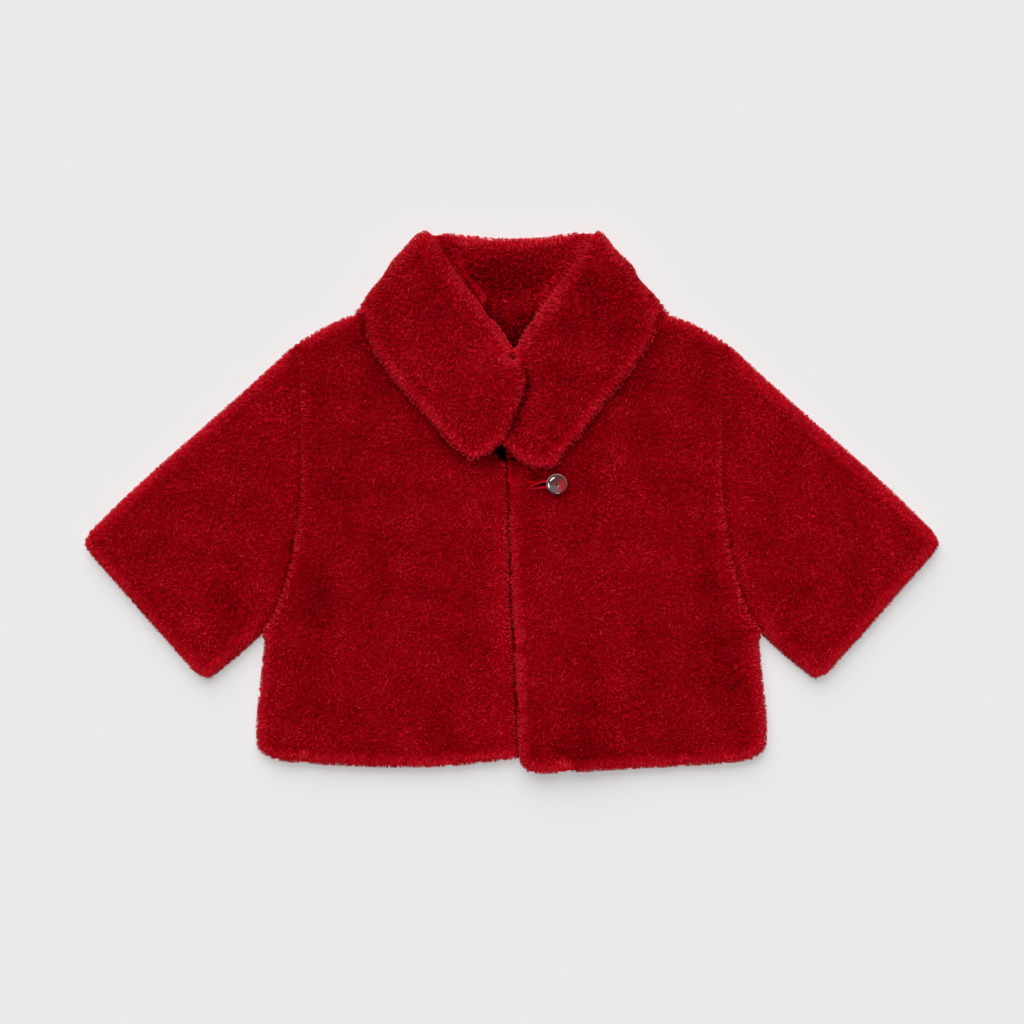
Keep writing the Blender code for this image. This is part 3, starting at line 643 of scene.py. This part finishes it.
def locks(name, roots, middles, tips, side, tint, slim, rng):
    """A joined mesh of closed locks, each a bent spindle: a root, three points round its middle and a tip."""
    count = len(roots)
    half = PILE_WIDTH * MM * (rng.uniform(0.35, 0.65, count) * slim)[:, None]
    way = unit(tips - roots)
    across = unit(side - (side * way).sum(1, keepdims=True) * way)
    over = np.cross(way, across)
    ring = [
        middles + half * (math.cos(angle) * across + math.sin(angle) * over)
        for angle in (math.pi / 2, math.pi * 7 / 6, math.pi * 11 / 6)
    ]
    points = np.stack((roots - 0.5 * MM * way, *ring, tips), axis=1).reshape(-1, 3)
    faces = np.array([(2, 1, 0), (3, 2, 0), (1, 3, 0), (1, 2, 4), (2, 3, 4), (3, 1, 4)])
    loops = (5 * np.arange(count)[:, None, None] + faces[None]).reshape(-1)
    mesh = bpy.data.meshes.new(name)
    mesh.vertices.add(len(points))
    mesh.vertices.foreach_set("co", points.reshape(-1))
    mesh.loops.add(len(loops))
    mesh.loops.foreach_set("vertex_index", loops.astype(np.int32))
    mesh.polygons.add(len(loops) // 3)
    mesh.polygons.foreach_set("loop_start", np.arange(0, len(loops), 3, dtype=np.int32))
    mesh.polygons.foreach_set("loop_total", np.full(len(loops) // 3, 3, np.int32))
    mesh.polygons.foreach_set("use_smooth", np.ones(len(loops) // 3, bool))
    mesh.update(calc_edges=True)
    across = np.array([0.5, 0.5, 0.0, 1.0, 0.5])[None] * TINT_WIDTH + tint[:, None]
    along = np.tile([0.0, 0.55, 0.45, 0.5, 1.0], (count, 1))
    places = np.stack((across, along), axis=-1).reshape(-1, 2)[loops]
    for map_name in ("pile", "OFBake"):
        mesh.uv_layers.new(name=map_name).uv.foreach_set("vector", places.reshape(-1))
    mesh.materials.append(PILE)
    piece = bpy.data.objects.new(name, mesh)
    bpy.context.scene.collection.objects.link(piece)
    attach(piece, "root")
    return piece


# Painted shade inside the neck, eased at the V's tip.
NECK_SHADE_PATCHES = ((0, 175, 60, 60, -0.11), (0, 160, 18, 16, 0.06))
SHOULDER_BULGES = ((-149, 183, 8, 0, 5.6), (149, 183, 8, 0, 5))  # the shoulders meet the collar's corners
SHOULDER_LOOSE = ((-148, 182, 8), (148, 182, 8))
back = plush_shell("back", "plush_back", patches=NECK_SHADE_PATCHES, bulges=SHOULDER_BULGES)
back_pile = pile(
    back,
    "back",
    11,
    patches=NECK_SHADE_PATCHES,
    loose=SHOULDER_LOOSE,
    tufts=[(-149.5, 186, 4.5, 110), (149, 186, 4, 70)],
)

# ---------------------------------------------------------------------------------------------
# Fronts
# Two cuts of the same plush. The under front runs on behind the over front as an underlap.
# The over front's free edge is combed over the opening, and strain folds run from its button.
# ---------------------------------------------------------------------------------------------
UNDER_CREASES = (
    (((-1, 60), (-3, 18), (-1.5, -25), (0.5, -90), (4.5, -177), (8, -262)), 2.0, 1.6),
    (((-46, 28), (-52, -2), (-50, -30)), 7, 0.8),
    (((-186, -40), (-190, -72), (-184, -104)), 9, 0.6),
    (((-120, 20), (-136, 4), (-160, -8)), 10, 0.5),
)
OVER_CREASES = (
    (((10, 21.5), (18, 22), (26, 22.5), (34, 28.5)), 1.5, 1.8),
    (((9, 14), (16, 16), (23, 18.4), (30, 18.6)), 1.4, 1.6),
    (((11, 17), (20, 20), (28, 21.5), (34, 25)), 1.4, -0.8),
    (((18, 14), (24, 15.5), (30, 15), (36, 11)), 1.8, -0.7),
    (((10, 29), (20, 27), (30, 30)), 2.0, 0.9),
    (((14, 6), (26, 8), (38, 4)), 3.5, 0.6),
    (((60, 26), (84, 40), (108, 46)), 6, 0.6),
    (((190, -40), (198, -70), (192, -100)), 9, 0.6),
    (((60, -215), (90, -205), (120, -212)), 12, 0.6),
)
# Painted light and shade: a black hole of painted shadow under the collar's points, painted light along the
# opening, and lighter and darker patches where the cloth bulges and sinks.
UNDER_LIGHT_AND_SHADE = (
    (-8.5, 50, 3.4, 5, -1.4),
    (-5, 41, 1.5, 5, -0.9),
    (-10, -110, 10, 170, 0.1),
    (-56, 2, 30, 30, 0.07),
    (-180, 20, 18, 30, -0.06),
    (-190, -98, 22, 40, -0.07),
    (-120, -150, 40, 30, 0.05),
)
# Painted light and shade: painted shadow in the opening's groove by the collar's points, in the buttonhole's
# slit and in a notch above it, painted light on the strain folds' ridges, and lighter and darker patches
# elsewhere.
OVER_LIGHT_AND_SHADE = (
    (2, 46, 6, 5, -0.4),
    (1, 31, 4.5, 15, -0.4),
    (31, 17.2, 6, 2.2, -1.6),
    (36, 37.5, 3.5, 2.5, -0.6),
    (22, 20.5, 8, 2.5, 0.14),
    (27, 15.5, 6, 2, 0.12),
    (72, -240, 40, 26, -0.08),
    (210, -158, 30, 40, -0.08),
    (120, -60, 50, 50, 0.04),
    (40, -100, 20, 60, 0.05),
)
SEAM_RIM = 1.3  # mm, how far the fronts stand up along their seams
SEAM_COMB = 1.15  # how strongly their pile is combed over the seam

front_under = plush_shell(
    "front_under", "plush_front_under", UNDER_CREASES, UNDER_LIGHT_AND_SHADE, SEAM_RIM, bulges=SHOULDER_BULGES
)
UNDER_FREE_EDGE = ((-5.5, 36), (-6, 20), (-4.5, -25), (-2.5, -90), (1.5, -177), (4.5, -250))
UNDER_BARE = ((-8.5, 50, 3.6, 5),)
front_under_pile = pile(
    front_under,
    "front_under",
    21,
    patches=UNDER_LIGHT_AND_SHADE,
    # 0.7: how strong the painted sheen on the under front's free edge is.
    edges=[(UNDER_FREE_EDGE, 0.7)],
    bare=UNDER_BARE,
    creases=UNDER_CREASES,
    seam_comb=SEAM_COMB,
    loose=SHOULDER_LOOSE,
    tufts=[(-5.5, 39, 3.5, 40)],
)
front_over = plush_shell(
    "front_over", "plush_front_over", OVER_CREASES, OVER_LIGHT_AND_SHADE, SEAM_RIM, bulges=SHOULDER_BULGES
)
OVER_BARE = ((1, 28, 5, 12), (25, 17.6, 10, 3.4))
STRAIN_LINES = (
    (((9, 14), (16, 17), (24, 20), (34, 26)), 5),
    (((14, 11), (24, 15), (30, 14.5), (40, 8)), 3.5),
    (((6, 30), (18, 28), (32, 32)), 4),
)
front_over_pile = pile(
    front_over,
    "front_over",
    31,
    patches=OVER_LIGHT_AND_SHADE,
    bare=OVER_BARE,
    creases=OVER_CREASES,
    combed=STRAIN_LINES,
    seam_comb=SEAM_COMB,
    loose=SHOULDER_LOOSE,
)

# ---------------------------------------------------------------------------------------------
# Sleeves
# Each is one cut of plush, sewn into a wide tube along the underarm and laid flat in two layers.
# The cuff is open between them. The sleeve lies a little lower than the body at their seam.
# ---------------------------------------------------------------------------------------------
SLEEVE_VOXEL = 1.5  # mm
SLEEVE_INSET = 1.6  # mm, of its top
SLEEVE_SINK = -0.5  # mm, beside its seam
CUFF_OPENING = 1.6  # mm, how far each layer of a sleeve is moved off the other
SLEEVE_PATCH = (320, 0, 200, 200, 0.03)
SLEEVE_CREASES = (
    (((268, -118), (292, -92), (322, -74)), 7, 0.8),
    (((262, -96), (276, -66), (300, -40)), 8, 0.7),
    (((236, -60), (250, -30), (262, 10)), 8, 0.5),
)


def open_tube(piece):
    """Parts the two layers of a flat sleeve: their inner faces lie within half a millimetre of its middle."""
    points = points_of(piece)
    off = points[:, 2] - points[:, 2].max() / 2
    inner = np.abs(off) < 0.5 * MM
    points[inner, 2] += np.sign(off[inner]) * CUFF_OPENING * MM
    piece.data.vertices.foreach_set("co", points.reshape(-1))


for side_name, sign, seed in (("left", -1, 41), ("right", 1, 51)):
    creases = [([(sign * x, y) for x, y in line], width, deep) for line, width, deep in SLEEVE_CREASES]
    patches = [(sign * SLEEVE_PATCH[0], *SLEEVE_PATCH[1:])]
    sleeve = plush_shell(
        f"sleeve_{side_name}",
        f"plush_sleeve_{side_name}",
        creases,
        patches,
        SLEEVE_SINK,
        opened=open_tube,
        voxel=SLEEVE_VOXEL,
        top=SLEEVE_INSET,
    )
    sleeve_pile = pile(
        sleeve,
        f"sleeve_{side_name}",
        seed,
        patches=patches,
        creases=creases,
        seam_comb=0,
        crowd=6,
        top=SLEEVE_INSET,
    )

# ---------------------------------------------------------------------------------------------
# Collar
# A stand and a wide leaf in one cut, turned over along its roll. Its pile is a little longer and
# thicker than the body's, and tufts stand out along the roll and the edge.
# ---------------------------------------------------------------------------------------------
COLLAR_LENGTH = 6.8  # mm, of its pile
COLLAR_RIM = 19.0  # mm, the band that is combed outwards
COLLAR_TUFT = (1.1, 1.9)  # mm, as TUFT_REACH
COLLAR_INSET = 1.0  # mm, of its edge
COLLAR_PITCH = 1.48  # mm between locks
COLLAR_CREASES = (
    (((30, 70), (40, 62), (52, 60)), 3, 0.8),
    (((24, 56), (36, 48), (47, 50)), 3, 0.6),
    (((8, 144), (17, 128), (18, 117), (15, 104), (7, 86), (-5, 62)), 3.5, 2.2),
    (((-4, 152), (-1, 148), (3, 142), (6, 138)), 3.5, -8),
    (((-62, 247), (-30, 243.5), (0, 242.5), (30, 243.5), (62, 247)), 3, 1.2),
    (((-88, 200), (-96, 180), (-94, 158)), 9, 0.8),
    (((92, 206), (84, 186), (86, 164)), 9, 0.8),
)
# Painted shade inside the neck and beside the left roll, and painted light and shade on the two leaves.
COLLAR_LIGHT_AND_SHADE = (
    (-65, 251, 9, 18, -0.18),
    (-41, 216, 9, 20, -0.18),
    (-21, 187, 8, 16, -0.15),
    (0, 222, 48, 24, -0.15),
    (84, 200, 26, 30, -0.09),
    (-70, 130, 60, 60, 0.09),
)
CORNER_BULGES = (
    (-144, 187, 8, -3, 0),
    (144, 187, 8, 3, 0),
    (-77, 263, 7, 0, 3),
    (76, 262, 9, 0, 5),
    (-104, 250, 20, 7, -1),
    (-127, 222, 18, 5.5, 0),
    (104, 248, 22, -12, -2),
    (130, 218, 18, -8.5, 0),
)
collar = plush_shell(
    "collar", "plush_collar", COLLAR_CREASES, COLLAR_LIGHT_AND_SHADE, edge=COLLAR_INSET, bulges=CORNER_BULGES
)
LEFT_LEAF_END = ((-3, 153), (5, 141), (12.5, 127), (14, 117), (11, 105), (3, 87), (-9, 59))
collar_pile = pile(
    collar,
    "collar",
    61,
    patches=COLLAR_LIGHT_AND_SHADE,
    # 0.9: how strong the painted sheen on the left leaf's end is; the right leaf beside it gets a painted
    #      shadow.
    edges=[(LEFT_LEAF_END, 0.9)],
    creases=COLLAR_CREASES,
    pitch=COLLAR_PITCH,
    length=COLLAR_LENGTH,
    tuft=COLLAR_TUFT,
    rim=COLLAR_RIM,
    turned_round=(0, 225),
    tufts=[(0.5, 146.5, 4.5, 130), (-78, 262, 5, 60), (78, 262, 5, 60)],
)

# ---------------------------------------------------------------------------------------------
# Buttonhole
# A horizontal slit in the over front. Its lips are one binding of smooth satin, turned and
# stitched down, and the pile parts round it. Strain from the button opens it on the left.
# ---------------------------------------------------------------------------------------------
SLIT_MIDDLE = (33.5, 17.0)  # mm
SLIT_HALF_LENGTH = 14.5  # mm between the centres of its round ends, halved
LIP_SWEEP = 3.2  # mm, how far the strain draws the left end down
LIP_RADIUS = 3.9  # mm from the slit's middle line to the middle of the lip
LIP_HALF_WIDTH = 2.2  # mm
LIP_HALF_HEIGHT = 1.1  # mm
LIP_HEIGHT = 17.4  # mm above the floor
LIP_FOLD = 0.3  # the share of the lips' size that is left where they close at the left end
LIP_SINK = 1.2  # mm, times the share of their size that they lose there
RING_TUBE = 0.25  # the tube's radius in the plain ring of radius 1 that the lips are shaped from


def lip_satin():
    """Satin binding: smooth and slightly lustrous, with fine threads across it."""
    made, tree, shader = new_material("satin_binding", {"Roughness": 0.7, "Specular IOR Level": 0.05})
    place = add(tree, "ShaderNodeTexCoord").outputs["Object"]
    threads = add(tree, "ShaderNodeTexNoise", {"Scale": 1 / (0.7 * MM), "Detail": 2.0}, {"Vector": place})
    reds = ((0.3, "#86030e"), (0.7, "#b00818"))
    red = add(tree, "ShaderNodeValToRGB", {"stops": reds}, {"Fac": threads.outputs["Fac"]})
    tree.links.new(red.outputs["Color"], shader.inputs["Base Color"])
    bump = add(
        tree, "ShaderNodeBump", {"Strength": 0.4, "Distance": 0.3 * MM}, {"Height": threads.outputs["Fac"]}
    )
    tree.links.new(bump.outputs["Normal"], shader.inputs["Normal"])
    return made


bpy.ops.object.select_all(action="DESELECT")
bpy.ops.mesh.primitive_torus_add(
    major_segments=96, minor_segments=14, major_radius=1.0, minor_radius=RING_TUBE
)
lips = bpy.context.object
lips.name = "buttonhole_lips"
ring = points_of(lips)
turn = np.arctan2(ring[:, 1], ring[:, 0])
off = (np.hypot(ring[:, 0], ring[:, 1]) - 1.0) / RING_TUBE
pinch = LIP_FOLD + (1 - LIP_FOLD) * smooth_step((np.cos(turn) + 1) / 1.1)
radius = (LIP_RADIUS + off * LIP_HALF_WIDTH) * pinch
straight = SLIT_HALF_LENGTH * np.clip(1.6 * np.cos(turn), -1, 1)
sweep = LIP_SWEEP * smooth_step(-straight / SLIT_HALF_LENGTH)
lips.data.vertices.foreach_set(
    "co",
    np.stack(
        (
            (SLIT_MIDDLE[0] + straight + radius * np.cos(turn)) * MM,
            (SLIT_MIDDLE[1] + radius * np.sin(turn) * 0.8 - sweep) * MM,
            (LIP_HEIGHT + ring[:, 2] / RING_TUBE * LIP_HALF_HEIGHT - LIP_SINK * (1 - pinch)) * MM,
        ),
        axis=1,
    ).reshape(-1),
)
lips.data.materials.append(lip_satin())
lips.data.shade_smooth()
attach(lips, "root")
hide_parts("buttonhole_welt")

# ---------------------------------------------------------------------------------------------
# Button
# Turned from smoky, slightly clouded resin: a rounded rim, a shallow dish and one pin-hole.
# A shank of thread and resin goes down through the slit to the underlap.
# ---------------------------------------------------------------------------------------------
BUTTON_CENTRE = (45.0, 17.0)  # mm
BUTTON_PROFILE = (  # (radius, height above the floor) in mm
    (1.3, 11.2),  # the shank's foot
    (1.3, 18.6),
    (7.5, 18.7),  # the underside
    (9.4, 19.1),
    (10.1, 19.7),
    (10.45, 20.4),
    (10.5, 21.0),  # the rim, rounded over
    (10.35, 21.5),
    (10.0, 21.9),
    (9.4, 22.2),
    (8.7, 22.4),
    (7.9, 22.55),
    (7.0, 22.65),
    (6.0, 22.7),
    (4.8, 22.7),
    (3.4, 22.67),  # the face, dished in to the pin-hole
    (2.0, 22.62),
    (1.25, 22.5),
    (1.1, 21.6),
    (1.0, 20.0),
)


def smoky_resin():
    """Smoky cast resin: grey-violet towards the bottom and dark brown-red at the top right with cloudy
    borders, painted red on the right as if the plush showed through it, a painted highlight on the rim and
    round the pin-hole and painted shade in it; polished all over but round its pin-hole.
    """
    made, tree, shader = new_material("smoky_cast_resin", {"Roughness": 0.08, "Coat Roughness": 0.04})
    place = add(tree, "ShaderNodeTexCoord").outputs["Object"]
    clouds = add(tree, "ShaderNodeTexNoise", {"Scale": 1 / (6 * MM), "Detail": 3.0}, {"Vector": place})
    kind = "ShaderNodeVectorMath"
    middle = (*(c * MM for c in BUTTON_CENTRE), 0)
    centred = add(tree, kind, {"operation": "SUBTRACT", 1: middle}, {0: place})
    flat = add(tree, kind, {"operation": "MULTIPLY", 1: (1 / MM, 1 / MM, 0)}, {0: centred.outputs[0]})
    stir = {"operation": "MULTIPLY_ADD", 1: (7, 7, 0), 2: (-3.5, -3.5, 0)}
    stirred = add(tree, kind, stir, {0: clouds.outputs["Color"]})
    bent = add(tree, kind, {"operation": "ADD"}, {0: flat.outputs[0], 1: stirred.outputs[0]})
    sides = add(tree, "ShaderNodeSeparateXYZ", None, {0: bent.outputs[0]})
    x, y = sides.outputs["X"], sides.outputs["Y"]
    radius = add(tree, kind, {"operation": "LENGTH"}, {0: flat.outputs[0]}).outputs["Value"]
    zones = (  # each colour, and where it starts and is full, in mm
        ("#6f5a60", ((y, 1.5, -3.5),)),
        # Painted red of the plush as if seen through the resin, on the button's right.
        ("#a8282c", ((x, -3.5, 7.0),)),
        ("#5c2f30", ((y, 0.5, 7.0), (x, -3.5, 1.5))),
        ("#3c2624", ((radius, 8.9, 9.4),)),
        # A painted highlight: the pale line along the rim, strongest towards the top.
        ("#a8907c", ((radius, 9.5, 9.9), (y, -9.0, 5.0))),  # the pale line on the rim
        ("#3a1c1c", ((radius, 10.25, 10.45),)),
        # A painted reflection: the pale ring on the pin-hole's edge.
        ("#8c5050", ((radius, 2.6, 1.7),)),
        # Painted shade in the pin-hole.
        ("#1a0606", ((radius, 1.35, 1.05),)),  # the pin-hole
    )
    links = {}
    for colour, ranges in zones:
        share = None
        for where, start, full in ranges:
            settings = {"interpolation_type": "SMOOTHSTEP", "From Min": start, "From Max": full}
            part = add(tree, "ShaderNodeMapRange", settings, {"Value": where}).outputs["Result"]
            if share is not None:
                part = add(tree, "ShaderNodeMath", {"operation": "MULTIPLY"}, {0: share, 1: part}).outputs[0]
            share = part
        colours = {"data_type": "RGBA", "A": linear("#4a3432"), "B": linear(colour)}
        tone = add(tree, "ShaderNodeMix", colours, {"Factor": share, **links}).outputs["Result"]
        links = {"A": tone}
    tree.links.new(tone, shader.inputs["Base Color"])
    settings = {"interpolation_type": "SMOOTHSTEP", "From Min": 2.0, "From Max": 2.8}
    polished = add(tree, "ShaderNodeMapRange", settings, {"Value": radius}).outputs["Result"]
    tree.links.new(polished, shader.inputs["Coat Weight"])
    halved = add(tree, "ShaderNodeMath", {"operation": "MULTIPLY", 1: 0.5}, {0: polished})
    tree.links.new(halved.outputs[0], shader.inputs["Specular IOR Level"])
    return made


first_radius, first_height = BUTTON_PROFILE[0]
bpy.ops.object.select_all(action="DESELECT")
bpy.ops.mesh.primitive_circle_add(vertices=96, radius=first_radius * MM, fill_type="NGON", location=(0, 0, 0))
button = bpy.context.object
button.name = "resin_button"
button.location = (BUTTON_CENTRE[0] * MM, BUTTON_CENTRE[1] * MM, first_height * MM)
bpy.ops.object.transform_apply(location=True)
bpy.ops.object.mode_set(mode="EDIT")
bpy.ops.mesh.select_all(action="SELECT")
centre = (BUTTON_CENTRE[0] * MM, BUTTON_CENTRE[1] * MM, 0)
for (radius, height), (next_radius, next_height) in zip(BUTTON_PROFILE[:-1], BUTTON_PROFILE[1:]):
    rise = (0, 0, (next_height - height) * MM)
    bpy.ops.mesh.extrude_region_move(TRANSFORM_OT_translate={"value": rise})
    grow = next_radius / radius
    bpy.ops.transform.resize(value=(grow, grow, 1), center_override=centre)
bpy.ops.mesh.select_all(action="SELECT")
bpy.ops.mesh.normals_make_consistent(inside=False)
bpy.ops.object.mode_set(mode="OBJECT")
button.data.materials.append(smoky_resin())
bpy.ops.object.shade_smooth_by_angle(angle=math.radians(35))
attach(button, "root")
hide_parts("button")

# ---------------------------------------------------------------------------------------------
# Floor, light and camera
# A pale grey studio floor under soft light from the garment's neck side, seen straight down.
# ---------------------------------------------------------------------------------------------
FLOOR_SIZE = 60.0  # m, so that no edge of it shows from the side
OVERHEAD = 1.78  # W per square metre, as the other lights
SOFTBOX = 2.42
GLINT = 0.6  # the strongest of the three lamps that only the polished button shows
FLOOR_DROP = 0.3  # mm below the garment
PICTURE = 1.024  # m across the picture on the floor
LENS = 85.0  # mm
SENSOR = 36.0  # mm
PICTURE_MIDDLE = (0.0003, -0.0105)  # m from the garment's middle to the picture's
SCALE_HEIGHT = 0.014  # m above the floor, where the picture is PICTURE across

bpy.ops.object.select_all(action="DESELECT")
bpy.ops.mesh.primitive_plane_add(size=FLOOR_SIZE, location=(0, 0, -FLOOR_DROP * MM))
floor = bpy.context.object
floor.name = "floor"
# Matt backdrop paper: an even pale grey without shine.
paper = new_material("matt_backdrop_paper", {"Base Color": linear("#e3e3e3"), "Roughness": 0.9})[0]
floor.data.materials.append(paper)


def aimed(name, kind, place, target, energy, glossy=False, **settings):
    """A light at a place, turned to a target. It lights things or, if glossy, only shines in polish."""
    data = bpy.data.lights.new(name, kind)
    data.energy = energy
    for key, value in settings.items():
        setattr(data, key, value)
    light = bpy.data.objects.new(name, data)
    light.location = place
    light.rotation_euler = (Vector(target) - Vector(place)).to_track_quat("-Z", "Y").to_euler()
    light.visible_glossy = glossy
    light.visible_diffuse = not glossy
    bpy.context.scene.collection.objects.link(light)


aimed("glint_upper", "SUN", (-0.2, 0.3, 1.75), (0, 0, 0), 0.6 * GLINT, True, angle=math.radians(9))
aimed("glint_left", "SUN", (-0.6, -0.06, 1.6), (0, 0, 0), GLINT, True, angle=math.radians(13))
aimed("glint_low", "SUN", (0.13, -0.8, 1.5), (0, 0, 0), 0.35 * GLINT, True, angle=math.radians(11))
aimed("overhead", "SUN", (0, 0.1, 3), (0, 0, 0), OVERHEAD, angle=math.radians(12))
aimed("softbox", "SUN", (-0.45, 2.3, 1.95), (0, 0, 0), SOFTBOX, angle=math.radians(64))
world = bpy.data.worlds.new("studio")
world.use_nodes = True
world.node_tree.nodes["Background"].inputs["Color"].default_value = (1, 1, 1, 1)
world.node_tree.nodes["Background"].inputs["Strength"].default_value = 0.02
bpy.context.scene.world = world
bpy.context.scene.view_settings.view_transform = "Standard"

lens = bpy.data.cameras.new("camera")
lens.lens = LENS
lens.sensor_width = SENSOR
camera = bpy.data.objects.new("camera", lens)
camera.location = (*PICTURE_MIDDLE, PICTURE * LENS / SENSOR + SCALE_HEIGHT)
bpy.context.scene.collection.objects.link(camera)
bpy.context.scene.camera = camera
